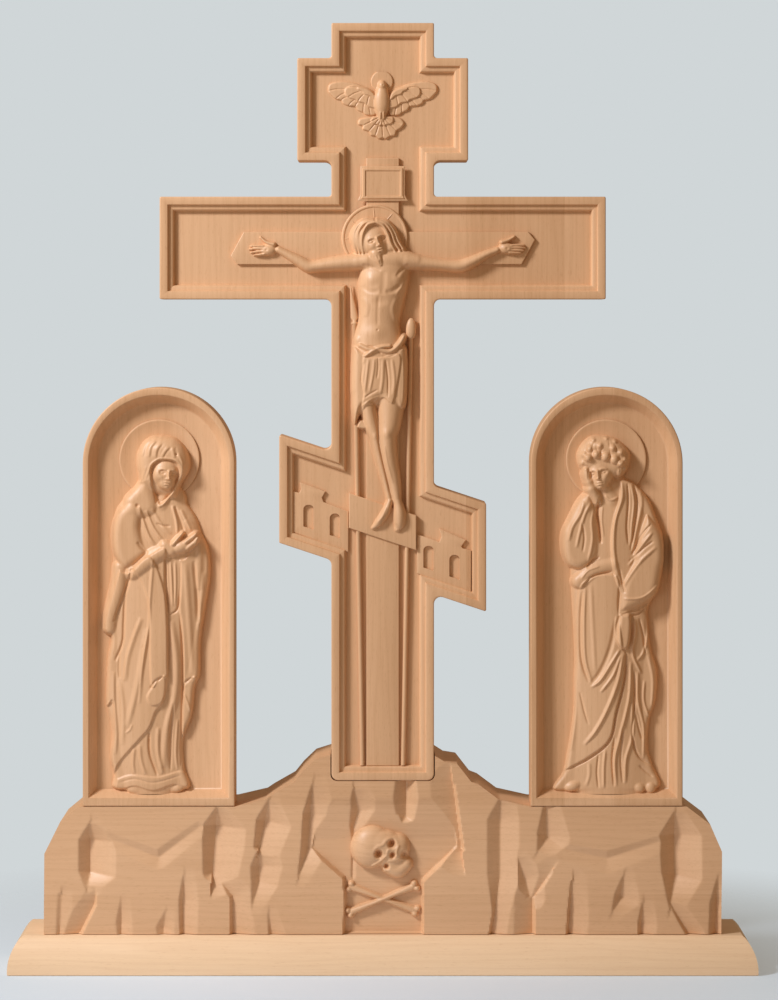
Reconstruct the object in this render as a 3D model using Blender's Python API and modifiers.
"""Golgotha cross: an eight-pointed cross stands in a carved hill between two arched icons.

Metres, +Z up. The front faces -Y. The origin is on the underside, at the middle of the base.
The cross lifts straight up out of its pocket in the hill. Everything else is glued or screwed.
"""
import math

import bmesh
import bpy
from mathutils import Matrix, Vector
from mathutils.geometry import delaunay_2d_cdt

MM = 0.001

# Fits
SEAT_GAP = 0.0003
POCKET_CLEARANCE = 0.0005
DOWEL_END_ROOM = 0.0008
OVERCUT = 0.005

# Base board
BASE_WIDTH = 0.394
BASE_THICKNESS = 0.020
BASE_EDGE_RUN = 0.0075
BASE_EDGE_UPRIGHT = 0.002
BASE_EDGE_STEPS = 6
BASE_MARGIN = 0.001

# Hill, with heights above the base board
HILL_WIDTH = 0.357
HILL_DEPTH = 0.048
LEDGE_HEIGHT = 0.0675
SHOULDER_DROP = 0.024
SHOULDER_RUN = 0.016
SHOULDER_BREAK_RUN = 0.0064
SHOULDER_BREAK_DROP = 0.0086
PEAK_HEIGHT = 0.095
POCKET_FLOOR_HEIGHT = 0.081
SKULL_GROUND_HEIGHT = 0.046
SKULL_GROUND_FOOT_WIDTH = 0.045
SKULL_GROUND_WIDTH = 0.081
SKULL_GROUND_HEAD_WIDTH = 0.072
SKULL_GROUND_WAIST_HEIGHT = 0.0276
SKULL_GROUND_HEAD_HEIGHT = 0.072
SKULL_GROUND_DEPTH = 0.0045
SKULL_X = -0.006
SKULL_HEIGHT = 0.050
CROSSBONES_X = -0.0006
CROSSBONES_HEIGHT = 0.019
SOCKET_RADIUS = 0.0022
NOSE_HOLE_RADIUS = 0.0015

# Cross
BEAM_WIDTH = 0.054
CROSS_HEIGHT = 0.399
CROSS_THICKNESS = 0.025
ARM_SPAN = 0.235
TITLE_BAR_SPAN = 0.090
TITLE_BAR_DROP = 0.0185
ARM_DROP = 0.0915
FOOT_BAR_SPAN = 0.109
FOOT_BAR_DROP = 0.2635
FOOT_BAR_SLOPE = math.radians(18.4)
INNER_CORNER_RADIUS = 0.0036
OUTER_CORNER_RADIUS = 0.0008
FOOT_CORNER_RADIUS = 0.0035
RIM_WIDTH = 0.0042
RIM_STEP_DEPTH = 0.0017
BEAD_WIDTH = 0.0029
FIELD_DEPTH = 0.0048

# Low relief on the field of the cross
INNER_BEAM_WIDTH = 0.0172
INNER_CROSS_THICKNESS = 0.0016
INNER_ARM_SPAN = 0.1606
INNER_ARM_POINT = 0.007
INNER_TOP_ABOVE_ARM = 0.0475
TITLE_PLATE_WIDTH = 0.0266
TITLE_PLATE_HEIGHT = 0.0184
TITLE_PLATE_RISE = 0.0340
TITLE_PLATE_THICKNESS = 0.0016
FOOTREST_WIDTH = 0.0356
FOOTREST_HEIGHT = 0.0184
FOOTREST_THICKNESS = 0.0030
FOOTREST_RISE = 0.0007
SHAFT_RADIUS = 0.0012
SHAFT_TOP_X = 0.0148
SHAFT_FOOT_X = 0.0108
LANCE_TOP_DROP = 0.0404
BLADE_LENGTH = 0.0226
BLADE_WIDTH = 0.0042
BLADE_THICKNESS = 0.0012
REED_TOP_DROP = 0.0480
SPONGE_WIDTH = 0.0054
SPONGE_HEIGHT = 0.0124
SPONGE_THICKNESS = 0.0038
WALL_THICKNESS = 0.0013
WINDOW_WIDTH = 0.0050
WINDOW_HEIGHT = 0.0120
WINDOW_DEPTH = 0.0008
WINDOW_FOOT_RADIUS = 0.0003

# Icons
ICON_WIDTH = 0.080
ICON_HEIGHT = 0.2205
ICON_THICKNESS = 0.025
ICON_OFFSET = 0.118
ICON_RIM_SIDE = 0.0030
ICON_RIM_TOP = 0.0040
ICON_RIM_BOTTOM = 0.0042
NICHE_DEPTH = 0.0070
NICHE_DRAFT = 0.0045
ARCH_STEPS = 20

# Haloes
ICON_HALO_RADIUS = 0.0212
ICON_HALO_HEAD_ROOM = 0.0085
CORPUS_HALO_RADIUS = 0.0172
CORPUS_HALO_X = -0.0042
CORPUS_HALO_RISE = 0.0055
HALO_THICKNESS = 0.0009

# Dowels and screws
DOWEL_RADIUS = 0.004
DOWEL_LENGTH = 0.030
CROSS_DOWEL_LENGTH = 0.036
CROSS_DOWEL_SPACING = 0.028
ICON_DOWEL_SPACING = 0.045
SCREW_SPACINGS = (0.110, 0.290)
SCREW_SHANK_RADIUS = 0.0022
SCREW_HEAD_RADIUS = 0.0043
SCREW_HEAD_HEIGHT = 0.0027
SCREW_POINT_LENGTH = 0.004
SCREW_LENGTH = 0.045
SCREW_SUNK = 0.001
SCREW_OVERCUT = 0.001

# Size at which the carved figures are drawn below
DRAWN_FIGURE_HEIGHT = 0.200
DRAWN_FIGURE_WIDTH = 0.065
DRAWN_CORPUS_SPAN = 0.1606
DRAWN_CORPUS_DROP = 0.145

# Places worked out from the sizes
BASE_DEPTH = HILL_DEPTH + 2 * BASE_MARGIN + BASE_EDGE_RUN
FRONT_Y = -BASE_DEPTH / 2 + BASE_EDGE_RUN + BASE_MARGIN
HILL_Y = FRONT_Y + HILL_DEPTH / 2
HILL_Z = BASE_THICKNESS + SEAT_GAP
LEDGE_Z = BASE_THICKNESS + LEDGE_HEIGHT
PEAK_Z = BASE_THICKNESS + PEAK_HEIGHT
POCKET_FLOOR_Z = BASE_THICKNESS + POCKET_FLOOR_HEIGHT
CROSS_FOOT_Z = POCKET_FLOOR_Z + SEAT_GAP
CROSS_TOP_Z = CROSS_FOOT_Z + CROSS_HEIGHT
CROSS_MIDDLE_Y = FRONT_Y + CROSS_THICKNESS / 2
FIELD_Y = FRONT_Y + FIELD_DEPTH
FIELD_INSET = RIM_WIDTH + BEAD_WIDTH
ARM_Z = CROSS_TOP_Z - ARM_DROP - BEAM_WIDTH / 2
FOOT_BAR_Z = CROSS_TOP_Z - FOOT_BAR_DROP
ICON_Z = LEDGE_Z + SEAT_GAP
ICON_MIDDLE_Y = FRONT_Y + ICON_THICKNESS / 2
NICHE_FLOOR_Y = FRONT_Y + NICHE_DEPTH
NICHE_FLOOR_Z = ICON_Z + ICON_RIM_BOTTOM + NICHE_DRAFT
NICHE_TOP_Z = ICON_Z + ICON_HEIGHT - ICON_RIM_TOP - NICHE_DRAFT
NICHE_HALF_WIDTH = ICON_WIDTH / 2 - ICON_RIM_SIDE - NICHE_DRAFT
ICON_HALO_Z = NICHE_TOP_Z - ICON_HALO_HEAD_ROOM - ICON_HALO_RADIUS
SKULL_GROUND_Y = FRONT_Y + SKULL_GROUND_DEPTH
CORPUS_HALO_Z = ARM_Z + CORPUS_HALO_RISE
INNER_FRONT_Y = FIELD_Y - SEAT_GAP - INNER_CROSS_THICKNESS

# Outline of the mound beside the cross, from the ledge (0, 0) to the peak (1, 1)
LEFT_MOUND = ((0.31, 0.14), (0.41, 0.24), (0.61, 0.47), (0.71, 0.68), (0.84, 0.90))
RIGHT_MOUND = ((0.29, 0.15), (0.51, 0.45), (0.60, 0.52), (0.75, 0.90), (0.88, 0.99))

# Clefts in the hill's front: x, low z, high z, steep width, gentle width, depth and lean, in mm
CLEFTS = (
    (-160.0, 42.0, 80.0, 5.0, 26.0, 3.2, 3.0),
    (-141.0, 20.0, 37.0, 2.5, 16.0, 2.6, 5.0),
    (-121.0, 20.0, 34.0, 3.0, 14.0, 2.6, 2.0),
    (-106.0, 20.0, 51.0, 2.0, 17.0, 3.0, 1.0),
    (-96.0, 49.0, 86.0, 7.0, 18.0, 3.6, 2.0),
    (-71.0, 34.0, 66.0, 4.0, 14.0, 3.0, -4.0),
    (-42.0, 54.0, 96.0, 3.0, 14.0, 3.2, 5.0),
    (-29.0, 20.0, 44.0, 3.0, 9.0, 3.2, 3.0),
    (41.0, 20.0, 50.0, 2.5, 13.0, 3.0, 5.0),
    (60.0, 20.0, 48.0, 4.5, 12.0, 2.8, 4.0),
    (80.0, 58.0, 86.0, 4.5, 12.0, 3.2, 2.0),
    (100.0, 20.0, 47.0, 2.5, 12.0, 3.0, 2.0),
    (124.0, 33.0, 52.0, 3.5, 12.0, 2.4, 4.0),
    (141.0, 20.0, 38.0, 2.0, 14.0, 2.6, 2.0),
    (150.0, 34.0, 82.0, 8.0, 14.0, 3.6, 3.0),
    (171.0, 20.0, 48.0, 4.0, 8.0, 2.6, 2.0),
)

PALE_WOOD = (0.66, 0.42, 0.25, 1.0)
FLAT_WOOD = (0.72, 0.49, 0.30, 1.0)
DOWEL_WOOD = (0.70, 0.52, 0.33, 1.0)
STEEL = (0.55, 0.55, 0.56, 1.0)


def empty_scene():
    for item in list(bpy.data.objects):
        bpy.data.objects.remove(item, do_unlink=True)


def new_collection(name):
    collection = bpy.data.collections.new(name)
    bpy.context.scene.collection.children.link(collection)
    return collection


def principled(name, colour, roughness, metallic=0.0):
    material = bpy.data.materials.new(name)
    material.use_nodes = True
    shader = material.node_tree.nodes["Principled BSDF"]
    shader.inputs["Base Color"].default_value = colour
    shader.inputs["Roughness"].default_value = roughness
    shader.inputs["Metallic"].default_value = metallic
    return material


def add_object(name, mesh, place, colour=PALE_WOOD, roughness=0.5, metallic=0.0):
    """Link a mesh as a part with its own material, or as a wire cutter when it goes with the cutters."""
    item = bpy.data.objects.new(name, mesh)
    place.objects.link(item)
    if place is cutters:
        item.hide_render = True
        item.display_type = "WIRE"
    else:
        mesh.materials.append(principled(name + "_finish", colour, roughness, metallic))
    return item


def mesh_from(name, work):
    bmesh.ops.recalc_face_normals(work, faces=work.faces)
    mesh = bpy.data.meshes.new(name)
    work.to_mesh(mesh)
    work.free()
    return mesh


def boolean(item, tool, operation="DIFFERENCE"):
    change = item.modifiers.new(operation.lower(), "BOOLEAN")
    change.operation = operation
    change.solver = "EXACT"
    change.object = tool


def to_micron(point):
    """Round to a micron, so that points meant to lie on one level line do so exactly."""
    return tuple(round(value, 6) for value in point)


def inset(points, distance):
    """Move every edge of an anticlockwise outline inwards by a distance; a negative one grows it."""
    count = len(points)
    moved = []
    for index in range(count):
        before = Vector(points[index - 1])
        here = Vector(points[index])
        after = Vector(points[(index + 1) % count])
        edge_in = (here - before).normalized()
        edge_out = (after - here).normalized()
        normal_in = Vector((-edge_in.y, edge_in.x))
        normal_out = Vector((-edge_out.y, edge_out.x))
        mitre = normal_in + normal_out
        mitre *= 2 / mitre.length_squared
        moved.append(to_micron(here + mitre * distance))
    return moved


def rounded(points, radii, steps=4):
    """Replace each corner of an outline by an arc of its own radius."""
    count = len(points)
    outline = []
    for index, radius in enumerate(radii):
        here = Vector(points[index])
        to_before = (Vector(points[index - 1]) - here).normalized()
        to_after = (Vector(points[(index + 1) % count]) - here).normalized()
        half_angle = to_before.angle(to_after) / 2
        reach = radius / math.tan(half_angle)
        middle = here + (to_before + to_after).normalized() * radius / math.sin(half_angle)
        start = here + to_before * reach - middle
        sweep = start.angle_signed(here + to_after * reach - middle)
        for step in range(steps + 1):
            outline.append(to_micron(middle + Matrix.Rotation(-sweep * step / steps, 2) @ start))
    return outline


def weld_curve_mesh(mesh, flat_ends=False):
    """Weld a curve's mesh, and fill each flat end of an extruded outline afresh without slivers."""
    work = bmesh.new()
    work.from_mesh(mesh)
    bmesh.ops.remove_doubles(work, verts=work.verts, dist=1e-6)
    if flat_ends:
        ends = [face for face in work.faces if len({vert.co.z > 0 for vert in face.verts}) == 1]
        bmesh.ops.delete(work, geom=ends, context="FACES")
        for end in (-1, 1):
            fill_end(work, [edge for edge in work.edges
                            if len(edge.link_faces) == 1 and edge.verts[0].co.z * end > 0])
    bmesh.ops.recalc_face_normals(work, faces=work.faces)
    work.to_mesh(mesh)
    work.free()


def fill_end(work, rim):
    corners = list({vert for edge in rim for vert in edge.verts})
    order = {vert: index for index, vert in enumerate(corners)}
    edges = [(order[edge.verts[0]], order[edge.verts[1]]) for edge in rim]
    triangles = delaunay_2d_cdt([vert.co.to_2d() for vert in corners], edges, [], 1, 1e-7)[2]
    for triangle in triangles:
        a, b, c = (corners[index].co for index in triangle)
        longest = max((a - b).length, (b - c).length, (c - a).length)
        if (b - a).cross(c - a).length > 2e-6 * longest:
            work.faces.new([corners[index] for index in triangle])


def plate(name, outline, front_y, back_y, place, **finish):
    """An upright flat piece: a filled curve drawn in X and Z, extruded from its front to its back."""
    curve = bpy.data.curves.new(name, "CURVE")
    curve.dimensions = "2D"
    curve.fill_mode = "BOTH"
    curve.extrude = (back_y - front_y) / 2
    spline = curve.splines.new("POLY")
    spline.points.add(len(outline) - 1)
    for point, (x, z) in zip(spline.points, outline):
        point.co = (x, z, 0.0, 1.0)
    spline.use_cyclic_u = True
    drawn = bpy.data.objects.new(name + "_outline", curve)
    upright = Matrix.Rotation(math.pi / 2, 4, "X")
    drawn.matrix_world = Matrix.Translation((0, (front_y + back_y) / 2, 0)) @ upright
    bpy.context.scene.collection.objects.link(drawn)
    depsgraph = bpy.context.evaluated_depsgraph_get()
    mesh = bpy.data.meshes.new_from_object(drawn.evaluated_get(depsgraph))
    matrix = drawn.matrix_world.copy()
    bpy.data.objects.remove(drawn, do_unlink=True)
    weld_curve_mesh(mesh, flat_ends=True)
    item = add_object(name, mesh, place, **finish)
    item.matrix_world = matrix
    return item


def loft(name, sections, place, **finish):
    """A closed solid through outlines that have the same number of points."""
    work = bmesh.new()
    rings = [[work.verts.new(point) for point in section] for section in sections]
    for lower, upper in zip(rings, rings[1:]):
        for index in range(len(lower)):
            after = (index + 1) % len(lower)
            work.faces.new((lower[index], lower[after], upper[after], upper[index]))
    work.faces.new(rings[0][::-1])
    work.faces.new(rings[-1])
    return add_object(name, mesh_from(name, work), place, **finish)


def turned(name, profile, location, place, **finish):
    """A turned piece: its profile of (radius, height) runs down the outside and is screwed about Z."""
    mesh = bpy.data.meshes.new(name)
    mesh.from_pydata([(radius, 0, height) for radius, height in profile],
                     [(index, index + 1) for index in range(len(profile) - 1)], [])
    item = add_object(name, mesh, place, **finish)
    item.location = location
    screw = item.modifiers.new("turn", "SCREW")
    screw.steps = 20
    screw.render_steps = 20
    screw.use_merge_vertices = True
    screw.merge_threshold = 0.00005
    return item


def round_bar(name, x, y, low_z, high_z, radius, place, **finish):
    profile = ((0, high_z - low_z), (radius, high_z - low_z), (radius, 0), (0, 0))
    return turned(name, profile, (x, y, low_z), place, **finish)


def disc(name, x, z, front_y, back_y, radius, place, steps=32, **finish):
    outline = []
    for step in range(steps):
        angle = 2 * math.pi * step / steps
        outline.append((x + radius * math.cos(angle), z + radius * math.sin(angle)))
    return plate(name, outline, front_y, back_y, place, **finish)


class Relief:
    """Rounded lumps, limbs and slabs drawn in mm over a flat ground, later melted into one carving."""

    def __init__(self, x, z, ground_y, scale_x=1.0, scale_z=1.0):
        self.work = bmesh.new()
        self.place = Matrix.Translation((x, ground_y, z))
        self.stretch = Matrix.Diagonal((MM * scale_x, MM, MM * scale_z, 1.0))

    def lump(self, x, z, out, radius_x, radius_z, radius_out, lean=0.0):
        turn = Matrix.Rotation(math.radians(lean), 4, "Y")
        size = Matrix.Diagonal((radius_x, radius_out, radius_z, 1.0))
        matrix = self.place @ self.stretch @ Matrix.Translation((x, -out, z)) @ turn @ size
        bmesh.ops.create_icosphere(self.work, subdivisions=3, radius=1.0, matrix=matrix)

    def limb(self, *joints):
        """Tapered links through joints of (x, z, out, radius)."""
        for x, z, out, radius in joints:
            self.lump(x, z, out, radius, radius, radius)
        for (x, z, out, radius), (next_x, next_z, next_out, next_radius) in zip(joints, joints[1:]):
            start = Vector((x, -out, z))
            along = Vector((next_x, -next_out, next_z)) - start
            aim = along.to_track_quat("Z", "Y").to_matrix().to_4x4()
            matrix = self.place @ self.stretch @ Matrix.Translation(start + along / 2) @ aim
            bmesh.ops.create_cone(self.work, cap_ends=True, segments=16, radius1=radius, radius2=next_radius,
                                  depth=along.length, matrix=matrix)

    def slab(self, outline, low, high):
        ring = [self.work.verts.new(self.place @ self.stretch @ Vector((x, -low, z))) for x, z in outline]
        face = self.work.faces.new(ring)
        grown = bmesh.ops.extrude_face_region(self.work, geom=[face], use_keep_orig=True)
        corners = [item for item in grown["geom"] if isinstance(item, bmesh.types.BMVert)]
        lift = self.place.to_3x3() @ self.stretch.to_3x3() @ Vector((0, low - high, 0))
        bmesh.ops.translate(self.work, verts=corners, vec=lift)

    def melt(self, name, grain, faces, back_out, place, smooth=4):
        """Melt the lumps into one solid, thin its faces to about a count, and cut its back flat."""
        item = add_object(name, mesh_from(name, self.work), place)
        blend = item.modifiers.new("melt", "REMESH")
        blend.mode = "VOXEL"
        blend.voxel_size = grain
        soften = item.modifiers.new("soften", "SMOOTH")
        soften.factor = 0.5
        soften.iterations = smooth
        depsgraph = bpy.context.evaluated_depsgraph_get()
        full = sum(len(polygon.vertices) - 2 for polygon in item.evaluated_get(depsgraph).data.polygons)
        thin = item.modifiers.new("thin", "DECIMATE")
        thin.ratio = min(1.0, faces / full)
        ground_y = self.place.translation.y - back_out * MM
        low, high = Vector(item.bound_box[0]), Vector(item.bound_box[6])
        size = high - low + Vector((OVERCUT, OVERCUT, OVERCUT)) * 2
        centre = (low + high) / 2
        centre.y = ground_y + size.y / 2
        boolean(item, block(name + "_back", size, centre, cutters))
        return item


def block(name, size, centre, place, **finish):
    work = bmesh.new()
    bmesh.ops.create_cube(work, size=1.0, matrix=Matrix.Diagonal((*size, 1.0)))
    item = add_object(name, mesh_from(name, work), place, **finish)
    item.location = centre
    return item


def ball(name, centre, size, place):
    """A round or stretched ball of a width, depth and height."""
    work = bmesh.new()
    bmesh.ops.create_icosphere(work, subdivisions=2, radius=0.5, matrix=Matrix.Diagonal((*size, 1.0)))
    item = add_object(name, mesh_from(name, work), place)
    item.location = centre
    return item


def build_base_board():
    half_width = BASE_WIDTH / 2
    half_depth = BASE_DEPTH / 2
    rise = BASE_THICKNESS - BASE_EDGE_UPRIGHT
    arc_radius = (BASE_EDGE_RUN ** 2 + rise ** 2) / (2 * BASE_EDGE_RUN)
    profile = [(0.0, 0.0)]
    for step in range(BASE_EDGE_STEPS + 1):
        height = rise * step / BASE_EDGE_STEPS
        run = arc_radius - math.sqrt(arc_radius ** 2 - height ** 2)
        profile.append((run, BASE_EDGE_UPRIGHT + height))
    sections = []
    for run, height in profile:
        side = half_width - run
        front = -half_depth + run
        sections.append([(-side, front, height), (side, front, height),
                         (side, half_depth, height), (-side, half_depth, height)])
    board = loft("base_board", sections, parts, colour=FLAT_WOOD)
    cut_screw_holes(board)
    return board


def screw_places():
    return [(side * spacing / 2, HILL_Y) for spacing in SCREW_SPACINGS for side in (-1, 1)]


def screw_profile(grow=0.0):
    """Countersunk screw, point up: radius and height above the head's flat face, grown by a clearance."""
    head = SCREW_HEAD_RADIUS + grow
    shank = SCREW_SHANK_RADIUS + grow
    return [(0, SCREW_LENGTH + grow), (shank, SCREW_LENGTH - SCREW_POINT_LENGTH + grow),
            (shank, SCREW_HEAD_HEIGHT + grow), (head, 0)]


def build_screws():
    for index, (x, y) in enumerate(screw_places()):
        turned(f"base_screw_{index + 1}", screw_profile() + [(0, 0)], (x, y, SCREW_SUNK), parts,
               colour=STEEL, roughness=0.35, metallic=1.0)


def cut_screw_holes(item):
    """Holes with countersinks that run on below the screws' heads, out through the base."""
    hole = screw_profile(SEAT_GAP)
    below = -SCREW_SUNK - SCREW_OVERCUT
    hole += [(hole[-1][0], below), (0, below)]
    for index, (x, y) in enumerate(screw_places()):
        boolean(item, turned(f"{item.name}_screw_hole_{index}", hole, (x, y, SCREW_SUNK), cutters))


def hill_outline():
    half = HILL_WIDTH / 2
    ledge_end = half - SHOULDER_RUN
    shoulder_z = LEDGE_Z - SHOULDER_DROP
    mound_start = ICON_OFFSET - ICON_WIDTH / 2
    pocket_side = BEAM_WIDTH / 2
    rise = PEAK_Z - LEDGE_Z

    def mound(side, shares):
        run = mound_start - pocket_side
        return [(side * (mound_start - share * run), LEDGE_Z + height * rise) for share, height in shares]

    def side_of_hill(side, shares):
        break_x = half - SHOULDER_BREAK_RUN
        shoulder = [(half, HILL_Z), (half, shoulder_z), (break_x, LEDGE_Z - SHOULDER_BREAK_DROP),
                    (ledge_end, LEDGE_Z), (mound_start, LEDGE_Z)]
        return [(side * x, z) for x, z in shoulder] + mound(side, shares) + [(side * pocket_side, PEAK_Z)]

    return side_of_hill(1, RIGHT_MOUND) + side_of_hill(-1, LEFT_MOUND)[::-1]


def build_hill():
    hill = plate("golgotha_hill", hill_outline(), FRONT_Y, FRONT_Y + HILL_DEPTH, parts)
    pocket_half = BEAM_WIDTH / 2 + POCKET_CLEARANCE
    pocket_back = FRONT_Y + CROSS_THICKNESS + POCKET_CLEARANCE
    above = PEAK_Z + OVERCUT
    pocket_corners = [(-pocket_half, above), (-pocket_half, POCKET_FLOOR_Z),
                      (pocket_half, POCKET_FLOOR_Z), (pocket_half, above)]
    square = FOOT_CORNER_RADIUS / 4
    pocket_outline = rounded(pocket_corners, [square, FOOT_CORNER_RADIUS, FOOT_CORNER_RADIUS, square])
    boolean(hill, plate("cross_pocket", pocket_outline, FRONT_Y - OVERCUT, pocket_back, cutters))
    boolean(hill, plate("skull_ground", skull_ground_outline(), FRONT_Y - OVERCUT, SKULL_GROUND_Y, cutters))
    for index, cleft in enumerate(CLEFTS):
        boolean(hill, build_cleft(f"cleft_{index}", *(value * MM for value in cleft)))
    cut_screw_holes(hill)
    cut_dowel_holes(hill, cross_dowel_xs(), CROSS_MIDDLE_Y, CROSS_FOOT_Z, CROSS_DOWEL_LENGTH)
    for side in (-1, 1):
        cut_dowel_holes(hill, icon_dowel_xs(side), ICON_MIDDLE_Y, ICON_Z, DOWEL_LENGTH)
    return hill


def skull_ground_outline():
    """Outline of the sunk ground: narrow at the crossbones, wide round the skull."""
    levels = [(SKULL_GROUND_FOOT_WIDTH, -OVERCUT), (SKULL_GROUND_FOOT_WIDTH, SKULL_GROUND_WAIST_HEIGHT),
              (SKULL_GROUND_WIDTH, SKULL_GROUND_HEIGHT), (SKULL_GROUND_HEAD_WIDTH, SKULL_GROUND_HEAD_HEIGHT)]
    right = [(width / 2, BASE_THICKNESS + height) for width, height in levels]
    return right + [(-x, z) for x, z in right[::-1]]


def build_cleft(name, x, low_z, high_z, steep, gentle, depth, lean):
    """A wedge that takes a cleft out of the rock: one steep wall and one gentle slope."""
    def section(shift, height, share):
        over = 0.4
        floor = Vector((x + shift, FRONT_Y + depth * share))
        steep_lip = Vector((x + shift - steep * share, FRONT_Y))
        gentle_lip = Vector((x + shift + gentle * share, FRONT_Y))
        corners = [steep_lip + (steep_lip - floor) * over, floor, gentle_lip + (gentle_lip - floor) * over]
        return [(corner.x, corner.y, height) for corner in corners]
    middle_z = (low_z + high_z) / 2
    foot_z = low_z - 2 * MM
    sections = [section(-lean / 2, foot_z, 0.8), section(0.0, middle_z, 1.0),
                section(lean / 2, high_z, 0.25)]
    return loft(name, sections, cutters)


def cross_dowel_xs():
    return [-CROSS_DOWEL_SPACING / 2, CROSS_DOWEL_SPACING / 2]


def icon_dowel_xs(side):
    return [side * ICON_OFFSET - ICON_DOWEL_SPACING / 2, side * ICON_OFFSET + ICON_DOWEL_SPACING / 2]


def cut_dowel_holes(item, xs, y, seat_z, length):
    reach = length / 2 + DOWEL_END_ROOM
    radius = DOWEL_RADIUS + SEAT_GAP
    for x in xs:
        name = f"{item.name}_dowel_hole_{len(item.modifiers)}"
        boolean(item, round_bar(name, x, y, seat_z - reach, seat_z + reach, radius, cutters))


def build_dowels(name, xs, y, seat_z, length):
    for index, x in enumerate(xs):
        round_bar(f"{name}_{index + 1}", x, y, seat_z - length / 2, seat_z + length / 2, DOWEL_RADIUS,
                  parts, colour=DOWEL_WOOD)


def cross_outline():
    """The cross's sharp corners anticlockwise from its foot, each with the radius that eases it."""
    half = BEAM_WIDTH / 2
    slope = math.tan(FOOT_BAR_SLOPE)
    bar_half_height = half / math.cos(FOOT_BAR_SLOPE)

    def foot_bar(x, side):
        return x, FOOT_BAR_Z - slope * x + side * bar_half_height

    title_top = CROSS_TOP_Z - TITLE_BAR_DROP
    title_foot = title_top - BEAM_WIDTH
    arm_top = ARM_Z + half
    arm_foot = ARM_Z - half
    bars = []
    bars += [(half, CROSS_FOOT_Z, FOOT_CORNER_RADIUS), (*foot_bar(half, -1), INNER_CORNER_RADIUS),
             (*foot_bar(FOOT_BAR_SPAN / 2, -1), OUTER_CORNER_RADIUS),
             (*foot_bar(FOOT_BAR_SPAN / 2, 1), OUTER_CORNER_RADIUS),
             (*foot_bar(half, 1), INNER_CORNER_RADIUS)]
    for span, low, high in ((ARM_SPAN, arm_foot, arm_top), (TITLE_BAR_SPAN, title_foot, title_top)):
        bars += [(half, low, INNER_CORNER_RADIUS), (span / 2, low, OUTER_CORNER_RADIUS),
                 (span / 2, high, OUTER_CORNER_RADIUS), (half, high, INNER_CORNER_RADIUS / 2)]
    bars += [(half, CROSS_TOP_Z, OUTER_CORNER_RADIUS), (-half, CROSS_TOP_Z, OUTER_CORNER_RADIUS)]
    for span, low, high in ((TITLE_BAR_SPAN, title_foot, title_top), (ARM_SPAN, arm_foot, arm_top)):
        bars += [(-half, high, INNER_CORNER_RADIUS / 2), (-span / 2, high, OUTER_CORNER_RADIUS),
                 (-span / 2, low, OUTER_CORNER_RADIUS), (-half, low, INNER_CORNER_RADIUS)]
    bars += [(*foot_bar(-half, 1), INNER_CORNER_RADIUS),
             (*foot_bar(-FOOT_BAR_SPAN / 2, 1), OUTER_CORNER_RADIUS),
             (*foot_bar(-FOOT_BAR_SPAN / 2, -1), OUTER_CORNER_RADIUS),
             (*foot_bar(-half, -1), INNER_CORNER_RADIUS), (-half, CROSS_FOOT_Z, FOOT_CORNER_RADIUS)]
    return [(x, z) for x, z, radius in bars], [radius for x, z, radius in bars]


def build_cross_board():
    corners, radii = cross_outline()
    board = plate("cross_board", rounded(corners, radii, 3), FRONT_Y, FRONT_Y + CROSS_THICKNESS, parts)
    ahead = FRONT_Y - OVERCUT
    boolean(board, plate("rim_step", inset(corners, RIM_WIDTH), ahead, FRONT_Y + RIM_STEP_DEPTH, cutters))
    boolean(board, plate("field", inset(corners, FIELD_INSET), ahead, FIELD_Y, cutters))
    cut_dowel_holes(board, cross_dowel_xs(), CROSS_MIDDLE_Y, CROSS_FOOT_Z, CROSS_DOWEL_LENGTH)
    return board


def inner_cross_outline():
    half = INNER_BEAM_WIDTH / 2
    foot_z = CROSS_FOOT_Z + FIELD_INSET + SEAT_GAP
    top_z = ARM_Z + INNER_TOP_ABOVE_ARM
    tip = INNER_ARM_SPAN / 2
    return [(-half, foot_z), (half, foot_z), (half, ARM_Z - half), (tip - INNER_ARM_POINT, ARM_Z - half),
            (tip, ARM_Z + half / 2), (tip - INNER_ARM_POINT / 2, ARM_Z + half), (half, ARM_Z + half),
            (half, top_z), (-half, top_z), (-half, ARM_Z + half), (-tip + INNER_ARM_POINT, ARM_Z + half),
            (-tip, ARM_Z - half / 2), (-tip + INNER_ARM_POINT / 2, ARM_Z - half), (-half, ARM_Z - half)]


def build_inner_cross():
    return plate("inner_cross", inner_cross_outline(), INNER_FRONT_Y, FIELD_Y - SEAT_GAP, parts)


def build_title_plate():
    half_width = TITLE_PLATE_WIDTH / 2
    low_z = ARM_Z + TITLE_PLATE_RISE - TITLE_PLATE_HEIGHT / 2
    high_z = low_z + TITLE_PLATE_HEIGHT
    flare = 0.06 * TITLE_PLATE_WIDTH
    plain = half_width - flare
    outline = [(-half_width, low_z), (half_width, low_z), (plain, low_z + 2 * flare), (plain, high_z),
               (-plain, high_z), (-plain, low_z + 2 * flare)]
    back_y = INNER_FRONT_Y - SEAT_GAP
    return plate("title_plate", outline, back_y - TITLE_PLATE_THICKNESS, back_y, parts)


def slanted(x, rise):
    """A point on the foot bar: x across, and a rise above its middle line."""
    return x, FOOT_BAR_Z - math.tan(FOOT_BAR_SLOPE) * x + rise


def footrest_outline(grow=0.0):
    half_width = FOOTREST_WIDTH / 2
    low = FOOTREST_RISE - FOOTREST_HEIGHT / 2
    high = FOOTREST_RISE + FOOTREST_HEIGHT / 2
    corners = [slanted(-half_width, low), slanted(half_width, low),
               slanted(half_width, high), slanted(-half_width, high)]
    return inset(corners, -grow)


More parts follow.
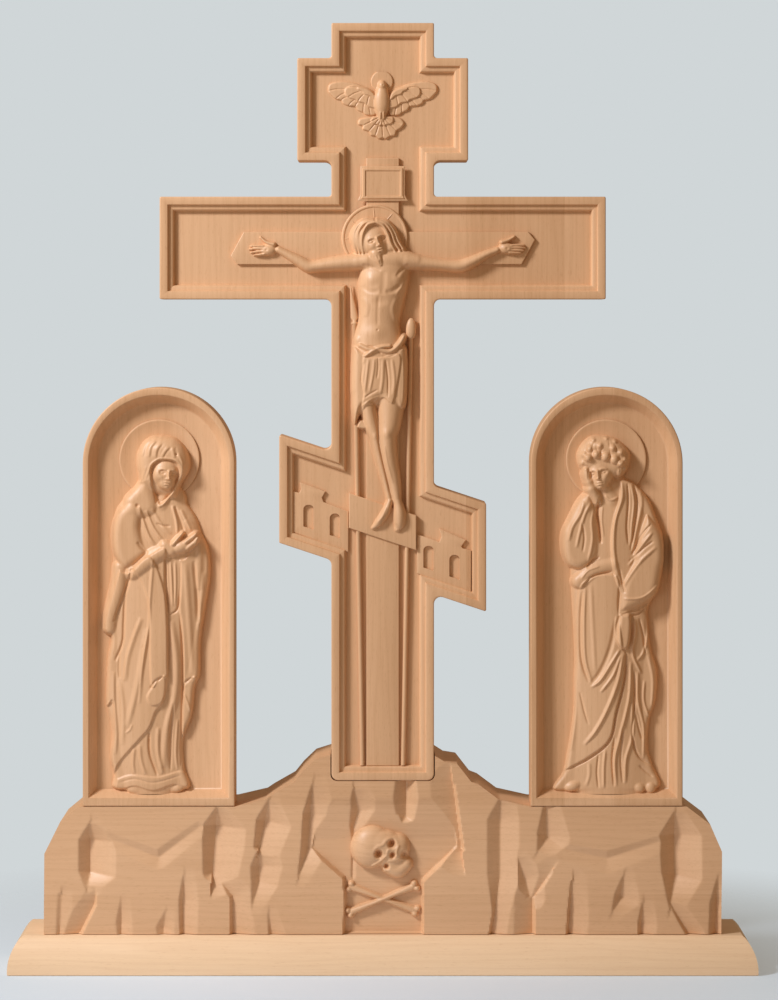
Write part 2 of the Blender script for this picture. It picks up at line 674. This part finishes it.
def build_footrest():
    front_y = FIELD_Y - SEAT_GAP - FOOTREST_THICKNESS
    rest = plate("footrest", footrest_outline(), front_y, FIELD_Y - SEAT_GAP, parts)
    groove = inset(inner_cross_outline(), -SEAT_GAP)
    boolean(rest, plate("footrest_groove", groove, INNER_FRONT_Y - SEAT_GAP, FIELD_Y + OVERCUT, cutters))
    for name, path in (("lance_groove", lance_path()), ("reed_groove", reed_path())):
        boolean(rest, shaft(name, path, SHAFT_RADIUS + SEAT_GAP, cutters))
    return rest


def lance_path():
    return (-SHAFT_TOP_X, ARM_Z - LANCE_TOP_DROP), (-SHAFT_FOOT_X, CROSS_FOOT_Z + FIELD_INSET + 2 * SEAT_GAP)


def reed_path():
    return (SHAFT_TOP_X, ARM_Z - REED_TOP_DROP), (SHAFT_FOOT_X, CROSS_FOOT_Z + FIELD_INSET + 2 * SEAT_GAP)


def shaft(name, path, radius, place):
    """A round stick that lies on the field between two points of x and z."""
    (top_x, top_z), (foot_x, foot_z) = path
    y = FIELD_Y - SEAT_GAP - SHAFT_RADIUS
    curve = bpy.data.curves.new(name, "CURVE")
    curve.dimensions = "3D"
    curve.bevel_depth = radius
    curve.bevel_resolution = 2
    curve.use_fill_caps = True
    spline = curve.splines.new("POLY")
    spline.points.add(1)
    spline.points[0].co = (top_x, y, top_z, 1.0)
    spline.points[1].co = (foot_x, y, foot_z, 1.0)
    drawn = bpy.data.objects.new(name + "_route", curve)
    bpy.context.scene.collection.objects.link(drawn)
    depsgraph = bpy.context.evaluated_depsgraph_get()
    mesh = bpy.data.meshes.new_from_object(drawn.evaluated_get(depsgraph))
    bpy.data.objects.remove(drawn, do_unlink=True)
    weld_curve_mesh(mesh)
    return add_object(name, mesh, place)


def build_lance():
    stick = shaft("lance", lance_path(), SHAFT_RADIUS, parts)
    x, z = lance_path()[0]
    y = FIELD_Y - SEAT_GAP - SHAFT_RADIUS
    heel_z = z - SHAFT_RADIUS
    shoulder_z = heel_z + BLADE_WIDTH / 2
    half_width = BLADE_WIDTH / 2
    half_thickness = BLADE_THICKNESS / 2
    blade = [(x, heel_z), (x + half_width, shoulder_z), (x - half_width, heel_z + BLADE_LENGTH),
             (x - half_width, shoulder_z)]
    boolean(stick, plate("lance_blade", blade, y - half_thickness, y + half_thickness, cutters), "UNION")
    return stick


def sponge(name, margin):
    """The sponge on the reed's end, a margin larger all round where it is a seat for the sponge."""
    x, z = reed_path()[0]
    centre = (x, FIELD_Y - SEAT_GAP - SPONGE_THICKNESS / 2, z + SPONGE_HEIGHT / 2 - SHAFT_RADIUS)
    lengths = (SPONGE_WIDTH, SPONGE_THICKNESS, SPONGE_HEIGHT)
    return ball(name, centre, [length + 2 * margin for length in lengths], cutters)


def build_reed():
    stick = shaft("sponge_reed", reed_path(), SHAFT_RADIUS, parts)
    boolean(stick, sponge("sponge", 0.0), "UNION")
    return stick


def build_city_wall(name, side):
    """A low wall with stepped towers that fills one end of the foot bar's field, up to the footrest."""
    inner_x = FOOTREST_WIDTH / 2 + SEAT_GAP
    outer_x = FOOT_BAR_SPAN / 2 - FIELD_INSET - SEAT_GAP
    low = -BEAM_WIDTH / 2 / math.cos(FOOT_BAR_SLOPE) + FIELD_INSET + 3 * SEAT_GAP
    run = outer_x - inner_x

    def point(share, rise):
        return slanted(side * (inner_x + share * run), rise)

    if side < 0:
        top = [point(0.0, 0.0035), point(0.36, 0.0035), point(0.36, 0.0085), point(0.92, 0.0085),
               point(1.0, 0.0045)]
    else:
        top = [point(0.0, -0.0015), point(0.42, -0.0015), point(0.42, 0.0060), point(1.0, 0.0060)]
    outline = [point(0.0, low)] + top + [point(1.0, low)]
    back_y = FIELD_Y - SEAT_GAP
    front_y = back_y - WALL_THICKNESS
    wall = plate(name, outline if side < 0 else outline[::-1], front_y, back_y, parts)
    for index, share in enumerate((0.27, 0.75)):
        x, z = point(share, 0.5 * (low + 0.006) - 0.002)
        half = WINDOW_WIDTH / 2
        window = rounded([(x - half, z - WINDOW_HEIGHT / 2), (x + half, z - WINDOW_HEIGHT / 2),
                          (x + half, z + WINDOW_HEIGHT / 2), (x - half, z + WINDOW_HEIGHT / 2)],
                         [WINDOW_FOOT_RADIUS, WINDOW_FOOT_RADIUS, 0.98 * half, 0.98 * half])
        floor_y = front_y + WINDOW_DEPTH
        boolean(wall, plate(f"{name}_window_{index}", window, front_y - OVERCUT, floor_y, cutters))
    return wall


def build_corpus_halo():
    back_y = INNER_FRONT_Y - SEAT_GAP
    return disc("corpus_halo", CORPUS_HALO_X, CORPUS_HALO_Z, back_y - HALO_THICKNESS, back_y,
                CORPUS_HALO_RADIUS, parts)


def build_corpus():
    """The hanging figure, drawn from the middle of the arm bar: head, spread arms, cloth, crossing legs."""
    scale_x = INNER_ARM_SPAN / DRAWN_CORPUS_SPAN
    scale_z = (ARM_Z - FOOT_BAR_Z) / DRAWN_CORPUS_DROP
    figure = Relief(0.0, ARM_Z, FIELD_Y, scale_x, scale_z)
    figure.lump(-4.6, 3.0, 6.0, 8.6, 11.6, 4.6, lean=-12)
    figure.lump(8.0, -5.0, 4.6, 4.0, 6.0, 3.0)
    figure.lump(0.5, -14.0, 5.2, 14.2, 12.5, 4.6)
    figure.lump(0.2, -30.0, 5.0, 12.6, 15.0, 4.2)
    figure.lump(0.5, -47.0, 5.0, 13.8, 12.0, 4.4)
    figure.limb((-15.0, -5.0, 4.8, 4.6), (-38.4, -12.4, 4.6, 3.2), (-57.3, 1.6, 4.0, 2.2),
                (-68.0, 3.2, 3.6, 2.2))
    figure.limb((14.0, -5.0, 4.8, 4.6), (44.3, -12.4, 4.6, 3.2), (60.6, -0.6, 4.0, 2.2),
                (73.0, 2.4, 3.6, 2.2))
    figure.slab([(-13.0, -44.0), (-13.5, -70.0), (-10.0, -84.5), (0.0, -79.5), (12.5, -85.5),
                 (13.4, -62.0), (13.0, -44.0)], 2.0, 8.4)
    figure.limb((-13.5, -47.0, 4.4, 3.2), (-15.0, -70.0, 4.0, 2.6), (-13.6, -92.0, 3.4, 1.7))
    figure.limb((-5.5, -62.0, 5.2, 6.4), (-4.0, -99.0, 5.4, 4.4), (2.0, -133.0, 5.2, 2.6),
                (-6.0, -147.0, 4.6, 2.3))
    figure.limb((7.0, -62.0, 5.4, 6.4), (3.5, -99.0, 6.0, 4.5), (10.2, -137.0, 5.8, 2.7),
                (9.0, -148.0, 5.2, 2.4))
    corpus = figure.melt("corpus", 0.0011, 2200, (INNER_CROSS_THICKNESS + 2 * SEAT_GAP) / MM, parts)
    halo_front = INNER_FRONT_Y - SEAT_GAP - HALO_THICKNESS
    boolean(corpus, disc("corpus_halo_seat", CORPUS_HALO_X, CORPUS_HALO_Z, halo_front - SEAT_GAP, FIELD_Y,
                         CORPUS_HALO_RADIUS + SEAT_GAP, cutters))
    rest_front = FIELD_Y - SEAT_GAP - FOOTREST_THICKNESS
    rest_seat = footrest_outline(SEAT_GAP)
    boolean(corpus, plate("footrest_seat", rest_seat, rest_front - SEAT_GAP, FIELD_Y, cutters))
    for name, path in (("lance_seat", lance_path()), ("reed_seat", reed_path())):
        (top_x, top_z), foot = path
        groove = (top_x, top_z + BLADE_LENGTH), foot
        boolean(corpus, shaft(name, groove, SHAFT_RADIUS + 2 * SEAT_GAP, cutters))
    boolean(corpus, sponge("sponge_seat", 2 * SEAT_GAP))
    return corpus


def build_dove():
    """A dove with raised wings and a fanned tail, in the middle of the title bar."""
    bird = Relief(0.0, CROSS_TOP_Z - TITLE_BAR_DROP - BEAM_WIDTH / 2, FIELD_Y)
    bird.lump(0.0, 5.0, 2.2, 7.4, 13.0, 2.4)
    bird.lump(0.4, 13.4, 2.2, 5.2, 5.4, 2.0)
    for side in (-1, 1):
        wing = [(2.0, -1.0), (3.0, 6.0), (7.0, 10.2), (13.0, 12.2), (20.0, 12.6), (27.4, 11.6), (28.2, 9.0),
                (24.0, 5.2), (15.0, 1.4), (6.0, -2.6)]
        bird.slab([(side * x, z) for x, z in wing][::side], 0.2, 2.2)
    bird.slab([(-3.5, -1.0), (-9.5, -4.0), (-12.2, -7.0), (-9.0, -12.5), (-4.0, -15.8), (1.0, -16.2),
               (7.5, -13.5), (11.8, -7.5), (9.0, -4.0), (3.5, -1.0)], 0.2, 2.0)
    return bird.melt("dove", 0.0008, 700, SEAT_GAP / MM, parts, smooth=2)


def build_skull():
    """A skull that leans to one side, seated on the hill's sunk ground."""
    skull = Relief(SKULL_X, BASE_THICKNESS + SKULL_HEIGHT, SKULL_GROUND_Y)
    skull.lump(0.0, 0.0, 3.0, 11.2, 11.2, 5.2, lean=20)
    skull.lump(8.0, -4.5, 3.6, 7.6, 8.0, 4.4)
    skull.lump(11.0, -11.0, 3.2, 7.6, 6.2, 3.8)
    head = skull.melt("skull", 0.0009, 500, SEAT_GAP / MM, parts, smooth=2)
    hollows = ((3.0, -3.5, SOCKET_RADIUS), (10.0, 2.0, SOCKET_RADIUS), (10.5, -4.3, NOSE_HOLE_RADIUS))
    for index, (x, z, radius) in enumerate(hollows):
        centre = (SKULL_X + x * MM, SKULL_GROUND_Y - 7.5 * MM, BASE_THICKNESS + SKULL_HEIGHT + z * MM)
        boolean(head, ball(f"skull_hollow_{index}", centre, [2 * radius] * 3, cutters))
    return head


def build_crossbones():
    bones = Relief(CROSSBONES_X, BASE_THICKNESS + CROSSBONES_HEIGHT, SKULL_GROUND_Y)
    for slope in (-1, 1):
        for end in (-1, 1):
            bones.limb((0.0, 0.0, 2.4, 1.4), (end * 15.0, slope * end * 6.2, 2.2, 1.5))
            bones.limb((end * 15.0, slope * end * 6.2, 2.0, 1.6), (end * 17.6, slope * end * 8.6, 1.8, 1.7))
            bones.limb((end * 15.0, slope * end * 6.2, 2.0, 1.6), (end * 18.4, slope * end * 5.4, 1.8, 1.7))
    return bones.melt("crossbones", 0.0008, 560, SEAT_GAP / MM, parts, smooth=1)


def arch_outline(x, side_inset, top_inset, foot_inset, steps=ARCH_STEPS):
    """An arched outline inside an icon's edge: half-round head on straight sides."""
    half = ICON_WIDTH / 2 - side_inset
    foot_z = ICON_Z + foot_inset
    spring_z = ICON_Z + ICON_HEIGHT - ICON_WIDTH / 2
    head = ICON_Z + ICON_HEIGHT - top_inset - spring_z
    outline = [(x - half, foot_z), (x + half, foot_z)]
    for step in range(steps + 1):
        angle = math.pi * step / steps
        outline.append((x + half * math.cos(angle), spring_z + head * math.sin(angle)))
    return outline


def build_icon_panel(name, side):
    x = side * ICON_OFFSET
    panel = plate(name, arch_outline(x, 0, 0, 0), FRONT_Y, FRONT_Y + ICON_THICKNESS, parts)
    mouth = arch_outline(x, ICON_RIM_SIDE, ICON_RIM_TOP, ICON_RIM_BOTTOM)
    floor = arch_outline(x, ICON_RIM_SIDE + NICHE_DRAFT, ICON_RIM_TOP + NICHE_DRAFT,
                         ICON_RIM_BOTTOM + NICHE_DRAFT)
    sections = [[(px, FRONT_Y - OVERCUT, pz) for px, pz in mouth], [(px, FRONT_Y, pz) for px, pz in mouth],
                [(px, NICHE_FLOOR_Y, pz) for px, pz in floor]]
    boolean(panel, loft(name + "_niche", sections, cutters))
    cut_dowel_holes(panel, icon_dowel_xs(side), ICON_MIDDLE_Y, ICON_Z, DOWEL_LENGTH)
    return panel


def build_icon_halo(name, side):
    back_y = NICHE_FLOOR_Y - SEAT_GAP
    x = side * ICON_OFFSET
    return disc(name, x, ICON_HALO_Z, back_y - HALO_THICKNESS, back_y, ICON_HALO_RADIUS, parts)


def icon_relief(side):
    scale_x = 2 * NICHE_HALF_WIDTH / DRAWN_FIGURE_WIDTH
    scale_z = (NICHE_TOP_Z - NICHE_FLOOR_Z) / DRAWN_FIGURE_HEIGHT
    return Relief(side * ICON_OFFSET, NICHE_FLOOR_Z, NICHE_FLOOR_Y, scale_x, scale_z)


def finish_icon_figure(figure, name, side):
    item = figure.melt(name, 0.0013, 1500, SEAT_GAP / MM, parts)
    seat_y = NICHE_FLOOR_Y - 2 * SEAT_GAP - HALO_THICKNESS
    boolean(item, disc(name + "_halo_seat", side * ICON_OFFSET, ICON_HALO_Z, seat_y, NICHE_FLOOR_Y + OVERCUT,
                       ICON_HALO_RADIUS + SEAT_GAP, cutters))
    return item


def build_left_mourner():
    """A veiled woman, head bowed towards the cross, one hand open before her."""
    figure = icon_relief(-1)
    figure.slab([(-21, 2), (-22, 14), (-24.5, 30), (-27, 47), (-27, 86), (-24, 120), (-22.5, 142),
                 (-19, 153), (-10, 160), (10, 160), (18, 153), (23, 140), (24, 116), (21, 80), (19.5, 60),
                 (16.5, 41), (12.5, 30), (11.5, 10), (15.5, 2)], 0.2, 4.2)
    figure.lump(1.5, 172.0, 4.0, 12.2, 14.0, 4.0, lean=8)
    figure.lump(2.5, 156.0, 3.8, 11.0, 9.0, 3.2)
    figure.lump(0.0, 140.0, 4.0, 21.0, 18.0, 3.6)
    figure.limb((-15.0, 142.0, 4.0, 5.0), (-17.0, 120.0, 4.6, 6.2), (-4.0, 127.0, 5.2, 3.6),
                (10.0, 131.0, 5.4, 2.8))
    figure.limb((-19.0, 116.0, 3.6, 3.6), (-23.0, 70.0, 3.0, 2.6), (-20.0, 22.0, 2.6, 2.2))
    figure.limb((-1.0, 124.0, 4.0, 3.6), (-1.0, 70.0, 3.6, 2.8), (-2.0, 40.0, 3.2, 2.2))
    figure.limb((11.0, 126.0, 4.0, 3.4), (14.0, 90.0, 3.6, 2.8), (13.0, 46.0, 3.0, 2.2))
    figure.limb((4.0, 60.0, 3.4, 2.4), (3.0, 12.0, 3.2, 2.4))
    figure.limb((-14.0, 50.0, 3.4, 2.6), (-11.0, 12.0, 3.2, 2.4))
    figure.limb((-13.0, 5.0, 3.4, 2.6), (-12.0, 3.4, 4.4, 2.2))
    figure.limb((10.0, 6.0, 3.4, 2.6), (11.0, 4.4, 4.4, 2.2))
    return finish_icon_figure(figure, "left_mourner", -1)


def build_right_mourner():
    """A young man in a mantle, his cheek on one hand, turned towards the cross."""
    figure = icon_relief(1)
    figure.slab([(-26, 2), (-17.5, 26), (-15.5, 52), (-14, 80), (-13, 102), (-19, 118), (-23, 134),
                 (-22, 150), (-12, 160), (10, 160), (17, 154), (23, 134), (25, 108), (22, 96), (17.5, 80),
                 (15.5, 60), (17, 38), (21, 18), (25, 4)], 0.2, 4.2)
    figure.lump(-1.5, 172.0, 4.2, 12.0, 13.2, 4.0, lean=-8)
    figure.lump(0.0, 156.0, 3.8, 9.0, 8.0, 3.2)
    figure.lump(2.0, 140.0, 4.0, 18.0, 17.0, 3.6)
    figure.limb((-9.0, 164.0, 5.4, 3.0), (-13.0, 146.0, 5.0, 4.2), (-16.0, 126.0, 4.6, 5.2),
                (-3.0, 122.0, 4.6, 3.6))
    figure.limb((16.0, 150.0, 4.0, 4.6), (21.0, 116.0, 4.2, 4.4), (10.0, 104.0, 4.6, 3.2))
    figure.limb((9.0, 150.0, 4.2, 3.0), (6.0, 120.0, 4.2, 3.0), (6.0, 100.0, 4.0, 2.6))
    figure.limb((12.0, 96.0, 4.0, 3.2), (11.0, 70.0, 3.6, 2.4))
    figure.limb((-4.0, 112.0, 3.6, 3.0), (-6.0, 60.0, 3.4, 2.6), (-16.0, 12.0, 3.0, 2.4))
    figure.limb((4.0, 66.0, 3.6, 2.6), (0.0, 10.0, 3.2, 2.4))
    figure.limb((12.0, 62.0, 3.4, 2.4), (17.0, 10.0, 3.0, 2.4))
    figure.limb((-15.0, 5.0, 3.4, 2.8), (-16.0, 3.4, 4.2, 2.2))
    figure.limb((17.0, 5.0, 3.4, 2.8), (18.0, 3.4, 4.2, 2.2))
    return finish_icon_figure(figure, "right_mourner", 1)


def main():
    build_base_board()
    build_screws()
    build_hill()
    build_skull()
    build_crossbones()
    for side, word in ((-1, "left"), (1, "right")):
        build_icon_panel(f"{word}_icon_panel", side)
        build_icon_halo(f"{word}_icon_halo", side)
        build_dowels(f"{word}_icon_dowel", icon_dowel_xs(side), ICON_MIDDLE_Y, ICON_Z, DOWEL_LENGTH)
    build_left_mourner()
    build_right_mourner()
    build_cross_board()
    build_dowels("cross_dowel", cross_dowel_xs(), CROSS_MIDDLE_Y, CROSS_FOOT_Z, CROSS_DOWEL_LENGTH)
    build_inner_cross()
    build_title_plate()
    build_footrest()
    build_lance()
    build_reed()
    build_city_wall("left_city_wall", -1)
    build_city_wall("right_city_wall", 1)
    build_corpus_halo()
    build_corpus()
    build_dove()


empty_scene()
parts = new_collection("golgotha_cross")
cutters = new_collection("cutters")
main()
